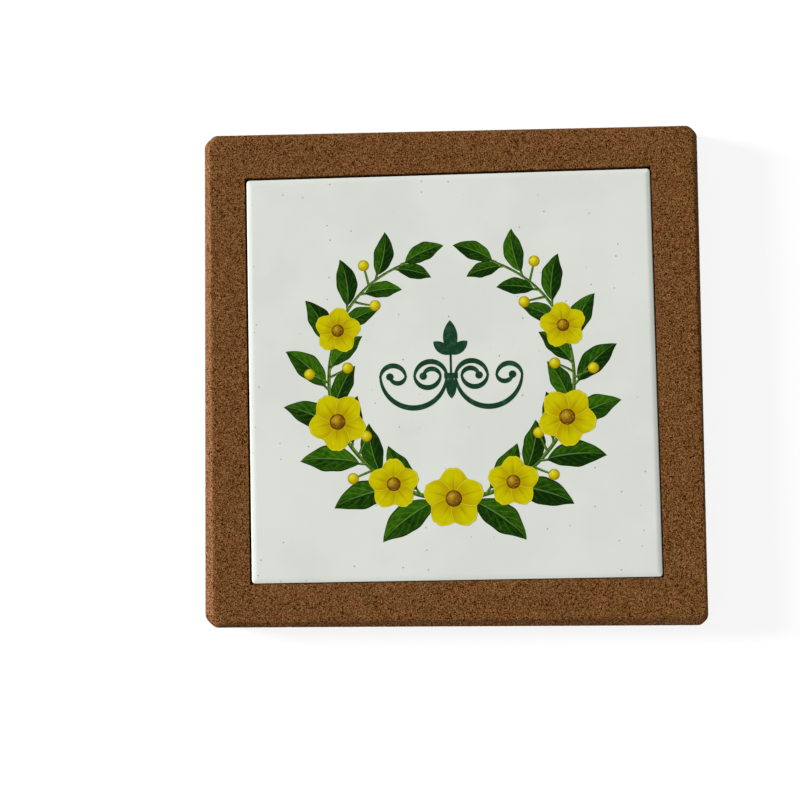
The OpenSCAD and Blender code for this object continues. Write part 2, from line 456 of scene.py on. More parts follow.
@dataclass(frozen=True)
class WhiteGlaze:
    """The tile's own glaze: a cool white with a few pinholes and faint clouds."""

    surface: GlazeSurface = GlazeSurface(specular=0.06)
    white: Color = srgb(218, 222, 214)
    cloudy: Color = srgb(213, 217, 209)
    cloud: float = 24.0
    cloud_edge: Span = (0.35, 0.68)
    pinhole: Color = srgb(120, 120, 108)
    pinhole_grain: float = 9.0
    pinhole_r: float = 0.032
    pinhole_pick: Span = (0.3, 0.9)
    faint: float = 0.2
    clear: float = 0.75
    clear_pick: Span = (0.3, 1.0)

    def material(self) -> Material:
        """Build the white glaze, in whose pinholes the clay shows through.

        Returns:
            The material.
        """
        shade = self.surface.start("white_glaze")
        place = shade.place()
        clouds = shade.clouds(place, self.cloud, detail=3.0).rise(self.cloud_edge)
        color = shade.mix(clouds, self.white, self.cloudy)
        distance, tone = shade.granules(place, self.pinhole_grain, dimensions="2D")
        hole = distance < tone.rise(self.pinhole_pick) * self.pinhole_r
        depth = shade.eased(tone, self.clear_pick, self.faint, self.clear)
        shade.put("Base Color", shade.mix(hole * depth, color, self.pinhole))
        return shade.material


@dataclass(frozen=True)
class LeafFinish:
    """A painted leaf: dark green with lighter patches, a midrib and side veins.

    Along the leaf, places run from 0 at the root to 1 at the tip. Across it, the lit half,
    the groove and the rib are given in leaf widths from the midrib, and vein_end and rim
    run from 0 at the midrib to 1 at a margin.
    """

    surface: GlazeSurface = GlazeSurface()
    tones: Stops = ((0.0, srgb(10, 38, 2)), (0.36, srgb(34, 73, 5)),
                    (0.9, srgb(66, 115, 12)))
    shadow: float = 0.68
    lit_half: Span = (-0.12, 0.16)
    lit_share: float = 0.34
    wash: float = 5.0
    wash_share: float = 0.5
    brush: float = 1.6
    brush_rough: float = 0.6
    brush_share: float = 0.9
    tone_share: float = 0.36
    vein_count: float = 6.0
    vein_slant: float = 2.2
    vein_end: Span = (0.55, 0.95)
    pale_vein: Span = (0.4, 0.5)
    pale_share: float = 0.22
    dark_vein: Span = (0.3, 0.42)
    dark_share: float = 0.14
    groove_off: float = 0.05
    groove_w: Span = (0.0, 0.07)
    groove_end: Span = (0.6, 0.94)
    groove_share: float = 0.75
    rib: Color = srgb(92, 134, 52)
    rib_w: float = 0.042
    rib_taper: float = 0.03
    rib_share: float = 0.6
    line: Color = srgb(12, 32, 6)
    rim: Span = (0.82, 0.97)
    rim_share: float = 0.85

    def material(self) -> Material:
        """Build the leaf's material, which follows the piece's own map.

        Returns:
            The material.
        """
        shade = self.surface.start("leaf_paint")
        place = shade.place()
        along, across = shade.flat_map()
        side = across - 0.5
        reach = abs(side) * 2
        light = (side.rise(self.lit_half) * self.lit_share
                 + shade.clouds(place, self.wash) * self.wash_share
                 + shade.clouds(place, self.brush, 3.0, self.brush_rough) * self.brush_share
                 + shade.attribute("tone") * self.tone_share - self.shadow)
        vein = self.veins(shade, along, reach)
        color = shade.ramp(light + vein * reach.fall(self.vein_end), self.tones)
        groove = abs(side + self.groove_off).fall(self.groove_w, self.groove_share)
        color = shade.mix(groove * along.fall(self.groove_end), color, self.line)
        rib = abs(side) < self.rib_w - along * self.rib_taper
        color = shade.mix(rib * self.rib_share, color, self.rib)
        shade.put("Base Color", shade.mix(
            reach.rise(self.rim, self.rim_share), color, self.line))
        return shade.material

    def veins(self, shade: Shade, along: Wire, reach: Wire) -> Wire:
        """Rule the side veins, which slant from the midrib towards the tip.

        Args:
            shade: The leaf's material.
            along: The share along the leaf.
            reach: The share from the midrib to the margin.

        Returns:
            What the veins add to the light: a pale line with a dark one beside it.
        """
        row = along * self.vein_count - reach * self.vein_slant
        phase = abs(shade.math("FRACT", row) - 0.5)
        return (phase.rise(self.pale_vein, self.pale_share)
                - phase.fall(self.dark_vein, self.dark_share))


@dataclass(frozen=True)
class StemFinish:
    """A painted stem: green with a lit side and dark edges."""

    surface: GlazeSurface = GlazeSurface()
    green: Color = srgb(60, 98, 22)
    light: Color = srgb(108, 144, 50)
    dark: Color = srgb(22, 48, 8)
    lit_side: Span = (0.3, 0.8)
    brush: float = 1.1
    brush_edge: Span = (0.42, 0.7)
    brush_share: float = 0.6
    rim: Span = (0.3, 0.46)
    rim_share: float = 0.9

    def material(self) -> Material:
        """Build the stem's material, which follows the piece's own map.

        Returns:
            The material.
        """
        shade = self.surface.start("stem_paint")
        _, across = shade.flat_map()
        brush = shade.clouds(shade.place(), self.brush)
        color = shade.mix(across.rise(self.lit_side), self.green, self.light)
        color = shade.mix(brush.rise(self.brush_edge, self.brush_share), color, self.dark)
        rim = abs(across - 0.5).rise(self.rim, self.rim_share)
        shade.put("Base Color", shade.mix(rim, color, self.dark))
        return shade.material


@dataclass(frozen=True)
class PetalFinish:
    """A painted petal: clear yellow with ochre strokes and a pale rim.

    Along the petal, places run from 0 at the root to 1 at the end. Across it, the crease
    and the fold are given in petal widths from the middle, and the rim and the line run
    from 0 at the middle to 1 at a side.
    """

    surface: GlazeSurface = GlazeSurface()
    yellow: Color = srgb(195, 190, 0)
    warm: Color = srgb(197, 180, 0)
    ochre: Color = srgb(174, 148, 0)
    deep: Color = srgb(126, 112, 4)
    rim: Color = srgb(214, 206, 40)
    strokes_along: float = 1.4
    strokes_across: float = 9.0
    strokes_apart: float = 7.0
    stroke_rough: float = 0.6
    stroke_edge: Span = (0.42, 0.66)
    stroke_share: float = 0.9
    root: Span = (0.28, 0.72)
    root_top: float = 0.95
    root_share: float = 0.9
    crease_w: Span = (0.0, 0.045)
    crease_end: Span = (0.4, 0.85)
    crease_share: float = 0.5
    fold: Span = (-0.5, -0.2)
    fold_share: float = 0.7
    rim_sides: Span = (0.88, 0.94)
    rim_end: Span = (0.93, 0.965)
    rim_share: float = 0.8
    line_sides: Span = (0.955, 0.985)
    line_end: Span = (0.978, 0.992)
    line_share: float = 0.7

    def material(self) -> Material:
        """Build the petal's material, which follows the piece's own map.

        Returns:
            The material.
        """
        shade = self.surface.start("petal_paint")
        along, across = shade.flat_map()
        side = across - 0.5
        reach = abs(side) * 2
        strokes = shade.clouds(shade.wire("CombineXYZ", {
            0: along * self.strokes_along, 1: across * self.strokes_across,
            2: shade.attribute("tone") * self.strokes_apart}), grain=1.0, detail=3.0,
            rough=self.stroke_rough)
        color = shade.mix(strokes.rise(self.stroke_edge), self.yellow, self.warm)
        root = along.fall(self.root, self.root_top) + (strokes - 0.5) * self.stroke_share
        color = shade.mix(root * self.root_share, color, self.ochre)
        crease = abs(side).fall(self.crease_w, self.crease_share)
        color = shade.mix(crease * along.fall(self.crease_end), color, self.deep)
        color = shade.mix(side.fall(self.fold, self.fold_share), color, self.ochre)
        rim = reach.rise(self.rim_sides).larger(along.rise(self.rim_end))
        color = shade.mix(rim * self.rim_share, color, self.rim)
        line = reach.rise(self.line_sides).larger(along.rise(self.line_end))
        shade.put("Base Color", shade.mix(line * self.line_share, color, self.deep))
        return shade.material


@dataclass(frozen=True)
class DotFinish:
    """A painted round spot: lit from one side, darker towards its rim."""

    name: str
    light: Color
    middle: Color
    dark: Color
    stipple: float
    surface: GlazeSurface = GlazeSurface()
    middle_at: float = 0.45
    glow: float = 0.2
    glow_off: float = 0.3
    fade: float = 0.62
    brush: float = 0.9
    brush_share: float = 0.4
    stipple_grain: float = 0.62
    stipple_r: float = 0.3
    stipple_pick: Span = (0.3, 0.6)
    rim: Span = (0.84, 0.96)
    rim_share: float = 0.7

    def material(self) -> Material:
        """Build the spot's material, whose map has the spot's middle at a half.

        Returns:
            The material.
        """
        shade = self.surface.start(self.name)
        place = shade.place()
        x, y = (share * 2 - 1 for share in shade.flat_map())
        lit = shade.length(x + self.glow_off, y - self.glow_off)
        brush = shade.clouds(place, self.brush)
        color = shade.ramp(brush * self.brush_share + lit * self.fade - self.glow, (
            (0.0, self.light), (self.middle_at, self.middle), (1.0, self.dark)))
        distance, tone = shade.granules(place, self.stipple_grain)
        dots = (distance < self.stipple_r) * self.stipple
        color = shade.mix(dots, color, shade.mix(
            tone.rise(self.stipple_pick), self.light, self.dark))
        rim = shade.length(x, y).rise(self.rim, self.rim_share)
        shade.put("Base Color", shade.mix(rim, color, self.dark))
        return shade.material


@dataclass(frozen=True)
class InkFinish:
    """The ornament's dark green, thinner in places where the brush ran dry."""

    surface: GlazeSurface = GlazeSurface()
    ink: Color = srgb(21, 58, 35)
    thin: Color = srgb(46, 88, 62)
    brush: float = 2.6
    brush_rough: float = 0.62
    brush_edge: Span = (0.48, 0.72)
    thin_share: float = 0.75

    def material(self) -> Material:
        """Build the ornament's material.

        Returns:
            The material.
        """
        shade = self.surface.start("ornament_ink")
        brush = shade.clouds(shade.place(), self.brush, detail=4.0, rough=self.brush_rough)
        shade.put("Base Color", shade.mix(
            brush.rise(self.brush_edge, self.thin_share), self.ink, self.thin))
        return shade.material


@dataclass(frozen=True)
class PlainFinish:
    """A hidden or half hidden material: mottled, with a fine grain in its surface."""

    name: str
    color: Color
    shadow: Color
    grain: float
    depth: float
    roughness: float
    specular: float
    mottle_grains: float = 6.0
    mottle_edge: Span = (0.36, 0.66)

    def material(self) -> Material:
        """Build the material.

        Returns:
            The material.
        """
        shade = Shade(self.name, self.roughness, self.specular)
        place = shade.place()
        mottle = shade.clouds(place, self.grain * self.mottle_grains, detail=3.0)
        shade.put("Base Color", shade.mix(
            mottle.rise(self.mottle_edge), self.color, self.shadow))
        shade.put("Normal", shade.relief(
            shade.clouds(place, self.grain, detail=3.0), self.depth))
        return shade.material


CORK_GLUE = PlainFinish("cork_glue", srgb(204, 184, 140), srgb(184, 160, 112),
                        grain=0.3, depth=0.01, roughness=0.5, specular=0.3)
FIRED_CLAY = PlainFinish("fired_clay", srgb(232, 219, 198), srgb(214, 196, 170),
                         grain=0.5, depth=0.03, roughness=0.85, specular=0.2)
TILE_ADHESIVE = PlainFinish("tile_adhesive", srgb(228, 224, 212), srgb(212, 206, 190),
                            grain=0.6, depth=0.03, roughness=0.6, specular=0.3)
BERRY = DotFinish("berry_paint", light=srgb(226, 216, 60), middle=srgb(190, 178, 2),
                  dark=srgb(142, 112, 2), stipple=0.0)
EYE = DotFinish("eye_paint", light=srgb(196, 160, 40), middle=srgb(132, 92, 14),
                dark=srgb(72, 46, 8), stipple=0.75)


def stored(mesh: BMesh, name: str, smooth: bool = True) -> Object:
    """Turn a mesh in millimetres into an object of the scene, in metres.

    Args:
        mesh: The mesh, which is freed.
        name: The object's name.
        smooth: Shade it smooth, apart from its sharp edges.

    Returns:
        The object, at the origin.
    """
    mesh.transform(Matrix.Scale(MM, 4))
    for face in mesh.faces:
        face.smooth = smooth
    data = bpy.data.meshes.new(name)
    mesh.to_mesh(data)
    mesh.free()
    made = bpy.data.objects.new(name, data)
    bpy.context.scene.collection.objects.link(made)
    return made


def baked(piece: Object) -> Object:
    """Apply a piece's modifiers to its mesh.

    Args:
        piece: The piece.

    Returns:
        The same piece with a plain mesh.
    """
    graph = bpy.context.evaluated_depsgraph_get()
    result = bpy.data.meshes.new_from_object(piece.evaluated_get(graph))
    before = piece.data
    piece.modifiers.clear()
    piece.data = result
    bpy.data.meshes.remove(before)
    result.name = piece.name
    return piece


def dress(piece: Object, material: Material) -> None:
    """Give a piece one material in place of those that it has, and report it.

    Args:
        piece: The piece.
        material: Its new material.
    """
    piece.data.materials.clear()
    piece.data.materials.append(material)
    LOG.info("%s: %d faces in %s", piece.name, len(piece.data.polygons), material.name)


def settle(piece: Object, material: Material,
           nodes: Sequence[str] = ()) -> None:
    """Finish a new piece: its material and the nodes that it stands for.

    Args:
        piece: The new piece.
        material: Its material.
        nodes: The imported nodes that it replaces, if any.
    """
    dress(piece, material)
    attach(piece, BODY)
    if nodes:
        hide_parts(*nodes)


@dataclass(frozen=True)
class TilePlace:
    """Where the tile lies: turned a little in the cork, and low in its opening."""

    skew: float = 0.6
    left: float = 0.25
    up: float = 0.25
    drop: float = 0.35

    def opening(self) -> Matrix:
        """The opening's turn and shift in the cork."""
        return (Matrix.Translation((-self.left, self.up, 0))
                @ Matrix.Rotation(math.radians(self.skew), 4, "Z"))

    def tile(self) -> Matrix:
        """The tile's turn and shift."""
        return self.opening() @ Matrix.Translation((0, -self.drop, 0))


@dataclass(frozen=True)
class CornerCuts:
    """How far each upright corner of the cork is cut off, by hand and so unevenly."""

    top_left: float = 4.3
    top_right: float = 3.7
    bottom_left: float = 4.3
    bottom_right: float = 3.2

    def at(self, corner: Vector) -> float:
        """Pick the cut for the corner that a point lies in.

        Args:
            corner: The point, counted from the middle of the cork.

        Returns:
            The cut.
        """
        if corner.x < 0:
            return self.top_left if corner.y > 0 else self.bottom_left
        return self.top_right if corner.y > 0 else self.bottom_right


@dataclass(frozen=True)
class CorkWear:
    """How pressing, cutting and sanding left the cork's surface.

    The surface's slope, 0 on an upright side and 1 on a flat face, tells its chamfers
    apart: there the sandpaper tore whole granules out.
    """

    crumb: float = 0.06
    crumb_grain: float = 0.9
    pit: float = 0.16
    pit_grain: float = 1.4
    pit_series: Vector = Vector((9, 4, 1)).freeze()
    over_side: Span = (0.15, 0.5)
    under_flat: Span = (0.995, 0.9)
    torn: Span = (0.25, 0.7)
    pitted: Span = (0.5, 0.8)
    pitted_share: float = 0.5

    def depth(self, place: Vector, normal: Vector) -> float:
        """Work out how far the surface lies under its nominal face.

        Args:
            place: The point, in millimetres.
            normal: The surface's direction there.

        Returns:
            The depth, in millimetres, less than 0 where a granule stands proud.
        """
        slope = abs(normal.z)
        chamfer = smooth_step(self.over_side, slope) * smooth_step(self.under_flat, slope)
        lost = noise.noise(place / self.pit_grain + self.pit_series)
        pits = chamfer * smooth_step(self.torn, lost)
        pits += self.pitted_share * smooth_step(self.pitted, lost)
        return self.crumb * noise.noise(place / self.crumb_grain) + self.pit * pits


@dataclass(frozen=True)
class CorkTray:
    """The cork base sheet and the die-cut frame that is glued on it."""

    place: TilePlace
    corners: CornerCuts = CornerCuts()
    corner_profile: float = 0.34
    corner_steps: int = 12
    top_chamfer: float = 2.0
    top_fall: float = 2.5
    bottom_chamfer: float = 1.0
    face_right: float = 0.9
    face_up: float = 0.55
    face_turn: float = 0.4
    opening_w: float = 154.0
    die_waste: float = 1.2
    film_opening_w: float = 154.6
    hidden_in: float = 1.6
    hidden_down: float = 0.4
    frame_voxel: float = 0.58
    base_voxel: float = 0.76
    sharp_angle: float = 65.0
    level: float = 0.01
    wear: CorkWear = CorkWear()
    finish: CorkFinish = CorkFinish()

    def build(self) -> None:
        """Make both pieces of cork and the glue between them, and dress them."""
        cork = self.finish.material()
        settle(self.frame(), cork, ["cork_frame"])
        settle(self.base(), cork, ["cork_base"])
        settle(self.film(), CORK_GLUE.material(), ["laminating_glue"])

    def slab(self, node: str) -> BMesh:
        """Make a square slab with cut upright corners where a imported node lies.

        Args:
            node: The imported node.

        Returns:
            The slab, with sharp upper and lower edges.
        """
        low, high = (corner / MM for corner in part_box(node))
        mesh = bmesh.new()
        bmesh.ops.create_cube(mesh, size=1)
        bmesh.ops.transform(mesh, verts=mesh.verts, matrix=(
            Matrix.Translation((low + high) / 2)
            @ Matrix.Diagonal((*(high - low), 1))))
        upright = [edge for edge in mesh.edges
                   if (edge.verts[0].co - edge.verts[1].co).xy.length < self.level]
        for edge in upright:
            bmesh.ops.bevel(mesh, geom=[edge], offset=self.corners.at(edge.verts[0].co),
                            segments=self.corner_steps, profile=self.corner_profile,
                            affect="EDGES", material=-1)
        return mesh

    def chamfer(self, mesh: BMesh, height: float, width: float,
                fall: float) -> list[BMVert]:
        """Cut off the outer edge of a slab at one height.

        Args:
            mesh: The slab.
            height: The height of the edge.
            width: The chamfer's width.
            fall: How far the chamfer reaches down the side, or up it.

        Returns:
            The points round the flat face that is left.
        """
        face = [face for face in mesh.faces
                if all(abs(vert.co.z - height) < self.level for vert in face.verts)]
        rim = list(face[0].verts)
        is_top = any(vert.co.z < height - self.level for vert in mesh.verts)
        made = bmesh.ops.extrude_face_region(mesh, geom=face)["geom"]
        inner = [item for item in made if isinstance(item, BMVert)]
        half = max(vert.co.x for vert in rim)
        # Where the sides of a corner cut at 45 degrees move in by a width, its cut grows
        # shorter by 2 - sqrt(2) widths.
        for vert in inner:
            share = 1 - (2 - math.sqrt(2)) * width / self.corners.at(vert.co)
            for axis in (0, 1):
                drawn_in = half - width - (half - abs(vert.co[axis])) * share
                vert.co[axis] = math.copysign(drawn_in, vert.co[axis])
        for vert in rim:
            vert.co.z += -fall if is_top else fall
        return inner

    def frame(self) -> Object:
        """Make the frame: a slab with a hand-sanded chamfer and a square opening.

        The sanded face lies a little off the middle and is turned like the opening, so
        the chamfer is widest on the left and grows narrow towards the lower right. The
        opening is cut twice, because the even mesh softens the first cut.

        Returns:
            The frame.
        """
        mesh = self.slab("cork_frame")
        top = max(vert.co.z for vert in mesh.verts)
        face = self.chamfer(mesh, top, self.top_chamfer, self.top_fall)
        bmesh.ops.transform(mesh, verts=face, matrix=(
            Matrix.Translation((self.face_right, self.face_up, 0))
            @ Matrix.Rotation(math.radians(self.face_turn), 4, "Z")))
        piece = self.opened(stored(mesh, "cork_frame_pressed"),
                            self.opening_w - 2 * self.die_waste)
        piece = self.opened(self.pressed(piece, self.frame_voxel), self.opening_w)
        piece.data.set_sharp_from_angle(angle=math.radians(self.sharp_angle))
        return piece

    def film(self) -> Object:
        """Make the glue film between the two pieces of cork, short of their edges."""
        piece = stored(self.slab("laminating_glue"), "cork_glue_film", smooth=False)
        return self.opened(piece, self.film_opening_w)

    def opened(self, piece: Object, width: float) -> Object:
        """Cut a square opening for the tile through a piece.

        Args:
            piece: The piece.
            width: The opening's width.

        Returns:
            The same piece, cut.
        """
        reach = 2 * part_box("cork_frame")[1].z / MM
        mesh = bmesh.new()
        bmesh.ops.create_cube(mesh, size=1)
        bmesh.ops.transform(mesh, verts=mesh.verts, matrix=(
            self.place.opening() @ Matrix.Diagonal((width, width, 2 * reach, 1))))
        cutter = stored(mesh, "opening_cutter", smooth=False)
        cut = piece.modifiers.new("opening", "BOOLEAN")
        cut.object = cutter
        cut.operation = "DIFFERENCE"
        cut.solver = "EXACT"
        baked(piece)
        bpy.data.objects.remove(cutter)
        return piece

    def base(self) -> Object:
        """Make the base sheet, with one plain face where the frame and tile hide it.

        Returns:
            The base sheet.
        """
        mesh = self.slab("cork_base")
        self.chamfer(mesh, 0, self.bottom_chamfer, self.bottom_chamfer)
        top = max(vert.co.z for vert in mesh.verts)
        piece = self.pressed(stored(mesh, "cork_base_pressed"), self.base_voxel)
        mesh = bmesh.new()
        mesh.from_mesh(piece.data)
        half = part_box("cork_base")[1].x - self.hidden_in * MM
        hidden = [face for face in mesh.faces
                  if face.calc_center_median().z > (top - self.hidden_down) * MM
                  and max(abs(c) for c in face.calc_center_median().xy) < half]
        bmesh.ops.dissolve_faces(mesh, faces=hidden)
        mesh.to_mesh(piece.data)
        mesh.free()
        return piece

    def pressed(self, piece: Object, voxel: float) -> Object:
        """Give a slab an even fine mesh and press granules into its surface.

        Args:
            piece: The slab.
            voxel: The mesh's step.

        Returns:
            The same piece, roughened.
        """
        remesh = piece.modifiers.new("even", "REMESH")
        remesh.mode = "VOXEL"
        remesh.voxel_size = voxel * MM
        remesh.use_smooth_shade = True
        baked(piece)
        verts = piece.data.vertices
        normals = [vert.normal.copy() for vert in verts]
        for vert, normal in zip(verts, normals):
            vert.co -= normal * (self.wear.depth(vert.co / MM, normal) * MM)
        return piece


@dataclass
class GlazedTile:
    """The white glaze over the tile, and the clay body in it.

    The glaze is a little thicker on the right, where it all but meets the cork.
    """

    place: TilePlace
    width: float = 152.7
    shift: float = 0.15
    corner_r: float = 1.3
    roll_w: float = 2.4
    roll_slope: float = 0.174
    roll_ease: float = 1.65
    arris: float = 0.25
    columns: int = 16
    roll_columns: int = 10
    reach: float = 2.4
    wall: float = 0.24
    face_sink: float = 0.05
    sharp_angle: float = 50.0
    glaze: WhiteGlaze = WhiteGlaze()

    def __post_init__(self) -> None:
        """Find the height of the visible glaze's face, just under the fired colours."""
        self.face_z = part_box("tile_glaze")[1].z / MM - self.face_sink

    def build(self, body: Object) -> None:
        """Make the glaze, and dress the packed clay body."""
        settle(self.cap(), self.glaze.material(), ["tile_glaze"])
        dress(body, FIRED_CLAY.material())

    def cap(self) -> Object:
        """Make the glaze: a shallow cap whose face rolls down to its sides.

        Returns:
            The glaze.
        """
        mesh = bmesh.new()
        bmesh.ops.create_grid(mesh, x_segments=2 * self.columns,
                              y_segments=2 * self.columns, size=1)
        for vert in mesh.verts:
            vert.co = self.rolled(self.spread(vert.co.x), self.spread(vert.co.y))
        rim = [edge for edge in mesh.edges if edge.is_boundary]
        skirt = bmesh.ops.extrude_edge_only(mesh, edges=rim)["geom"]
        for vert in (item for item in skirt if isinstance(item, BMVert)):
            vert.co.z = self.face_z - self.reach
        bmesh.ops.transform(mesh, verts=mesh.verts, matrix=(
            self.place.tile() @ Matrix.Translation((self.shift, 0, 0))))
        bmesh.ops.recalc_face_normals(mesh, faces=mesh.faces)
        bmesh.ops.solidify(mesh, geom=mesh.faces[:], thickness=self.wall)
        bmesh.ops.recalc_face_normals(mesh, faces=mesh.faces)
        piece = stored(mesh, "tile_glaze_fired")
        piece.data.set_sharp_from_angle(angle=math.radians(self.sharp_angle))
        return piece

    def spread(self, share: float) -> float:
        """Crowd the grid's lines together where the face rolls down.

        Args:
            share: A grid line's place, from -1 to 1.

        Returns:
            Its place across the tile, in millimetres from the middle.
        """
        flat_columns = self.columns - self.roll_columns
        line = abs(share) * self.columns - flat_columns
        flat = self.width / 2 - self.roll_w
        if line <= 0:
            place = flat * (1 + line / flat_columns)
        else:
            place = flat + self.roll_w * math.sin(math.pi / 2 * line / self.roll_columns)
        return math.copysign(place, share)

    def drop(self, inside: float) -> float:
        """Work out how far the face has fallen near the edge.

        Args:
            inside: The distance from the edge.

        Returns:
            The fall: a slope that sets in gently, then a tight arris at the edge.
        """
        run = max(0.0, self.roll_w - inside) / self.roll_ease
        eased = run ** 3 - run ** 4 / 2 if run < 1 else run - 0.5
        over = max(0.0, 1 - inside / self.arris)
        return (self.roll_slope * self.roll_ease * eased
                + self.arris * (1 - math.sqrt(max(0.0, 1 - over * over))))

    def rolled(self, x: float, y: float) -> Vector:
        """Round the corner and lower the border.

        Args:
            x: The place across the tile.
            y: The place up the tile.

        Returns:
            The place on the glaze.
        """
        height = self.face_z - self.drop(self.width / 2 - max(abs(x), abs(y)))
        straight = self.width / 2 - self.corner_r
        over = [max(0.0, (abs(part) - straight) / self.corner_r) for part in (x, y)]
        if min(over) > 0:
            corner = disc(self.corner_r, (1 + over[0]) / 2, (1 + over[1]) / 2)
            x = math.copysign(straight + corner.x, x)
            y = math.copysign(straight + corner.y, y)
        return Vector((x, y, height))


def disc(radius: float, along: float, across: float) -> Vector:
    """Find the place on a disc, from its middle, that a place on a square stands for."""
    x, y = 2 * along - 1, 2 * across - 1
    return radius * Vector((x * math.sqrt(1 - y * y / 2), y * math.sqrt(1 - x * x / 2)))


def bowed(length: float, sag: float, along: float) -> Vector:
    """Find a place on a line from the origin along X whose middle sags to one side."""
    return Vector((length * along, 4 * sag * along * (1 - along)))


def strip(points: Callable[[float], Vector], widths: Span, along: float, across: float,
          step: float = 0.002) -> Vector:
    """Find a place on a strip that follows a line.

    Args:
        points: The line's place for a share along it.
        widths: The strip's widths at its start and its end.
        along: The share along the strip.
        across: The share across it.
        step: The share of the line over which its direction is taken.

    Returns:
        The place.
    """
    run = points(min(1, along + step)) - points(max(0, along - step))
    normal = Vector((-run.y, run.x)).normalized()
    start, end = widths
    return points(along) + normal * ((start + (end - start) * along) * (across - 0.5))


@dataclass(frozen=True)
class LeafForm:
    """A leaf between two arcs, one rounder than the other, drawn out to a tip."""

    length: float = 25.0
    width: float = 11.0
    bend: float = 0.16
    tip: Span = (0.55, 1.0)
    tip_draw: float = 0.3
    ripple: float = 0.035
    ripple_rate: float = 19.0
    ripple_step: float = 2.1

    def outline(self, size: float, side: float, number: int, flip: float,
                along: float, across: float) -> Vector:
        """Find a place on the leaf, whose root is at the origin.

        Args:
            size: The leaf's size share.
            side: The side that it bends to, 1 or -1.
            number: The leaf's number, which varies its margin.
            flip: Turns the map, so that the lit half faces the top left.
            along: The share along the leaf.
            across: The share across it.

        Returns:
            The place.
        """
        length, width = self.length * size, self.width * size
        x = length * along
        margins = []
        for way in (1, -1):
            rise = width / 2 - way * side * self.bend * width
            radius = (length * length / 4 + rise * rise) / (2 * rise)
            arc = math.sqrt(max(0, radius * radius - (x - length / 2) ** 2))
            margins.append(arc + rise - radius)
        upper, lower = margins
        half = (upper + lower) / 2 * (1 - self.tip_draw * smooth_step(self.tip, along))
        half *= 1 + self.ripple * math.sin(
            along * self.ripple_rate + number * self.ripple_step)
        return Vector((x, (upper - lower) / 2 + half * flip * (2 * across - 1)))


@dataclass(frozen=True)
class PetalForm:
    """A petal: narrow at the eye, broad and notched at its end."""

    length: float = 11.8
    width: float = 5.2
    root: float = 0.24
    swell: float = 0.8
    broad_at: float = 0.72
    draw_in: float = 0.2
    draw_span: Span = (0.7, 1.0)
    rounding: float = 0.25
    notch: float = 0.045
    notch_w: float = 0.22

    def outline(self, size: float, along: float, across: float) -> Vector:
        """Find a place on the petal, whose root is at the origin.

        Args:
            size: The petal's size share.
            along: The share along the petal.
            across: The share across it.

        Returns:
            The place.
        """
        side = 2 * across - 1
        swell = self.swell * math.sin(math.pi / 2 * min(1, along / self.broad_at))
        half = self.width * size * (self.root + swell)
        half *= 1 - self.draw_in * smooth_step(self.draw_span, along)
        reach = 1 - self.rounding * along * side * side
        reach -= self.notch * along ** 4 * math.exp(-(side / self.notch_w) ** 2)
        return Vector((self.length * size * along * reach, half * side))


class Layer(Enum):
    """The order in which the colours were laid on the tile, as heights over it."""

    STEM = 0.006
    TWIG = 0.007
    LEAF = 0.012
    STALK = 0.022
    BERRY = 0.025
    PETAL = 0.028
    EYE = 0.045


@dataclass
class Brush:
    """Collects flat painted shapes of one colour and makes one thin piece of them."""

    place: TilePlace
    face_z: float
    depth: float = 0.06
    touch: float = 0.0005
    mesh: BMesh = field(default_factory=bmesh.new)

    def __post_init__(self) -> None:
        """Add the map and the tone that every shape carries."""
        self.mesh.loops.layers.uv.new("UVMap")
        self.mesh.verts.layers.float.new("tone")

    def shape(self, grid: Grid, outline: Outline, at: Matrix, height: float,
              tone: float) -> None:
        """Paint one shape.

        Args:
            grid: The number of faces along it and across it.
            outline: Gives the flat place for a share along and a share across.
            at: Where the shape lies on the tile.
            height: How high its face is over the glaze.
            tone: A share that varies its colour.
        """
        part = bmesh.new()
        part_map = part.loops.layers.uv.new("UVMap")
        part_tone = part.verts.layers.float.new("tone")
        bmesh.ops.create_grid(part, x_segments=grid[0], y_segments=grid[1], size=0.5)
        bmesh.ops.translate(part, verts=part.verts, vec=(0.5, 0.5, 0))
        for face in part.faces:
            for loop in face.loops:
                loop[part_map].uv = loop.vert.co.xy
        for vert in part.verts:
            vert[part_tone] = tone
            vert.co = outline(vert.co.x, vert.co.y).to_3d()
        bmesh.ops.remove_doubles(part, verts=part.verts, dist=self.touch)
        base = bmesh.ops.extrude_face_region(part, geom=part.faces[:],
                                             use_keep_orig=True)
        raised = [item for item in base["geom"] if isinstance(item, BMVert)]
        bmesh.ops.translate(part, verts=raised, vec=(0, 0, self.depth))
        low = self.face_z + height - self.depth
        bmesh.ops.transform(part, verts=part.verts, matrix=(
            self.place.tile() @ at @ Matrix.Translation((0, 0, low))))
        bmesh.ops.recalc_face_normals(part, faces=part.faces)
        held = bpy.data.meshes.new("shape")
        part.to_mesh(held)
        part.free()
        self.mesh.from_mesh(held)
        bpy.data.meshes.remove(held)

    def finish(self, name: str) -> Object:
        """Store what was painted as one piece."""
        return stored(self.mesh, name, smooth=False)


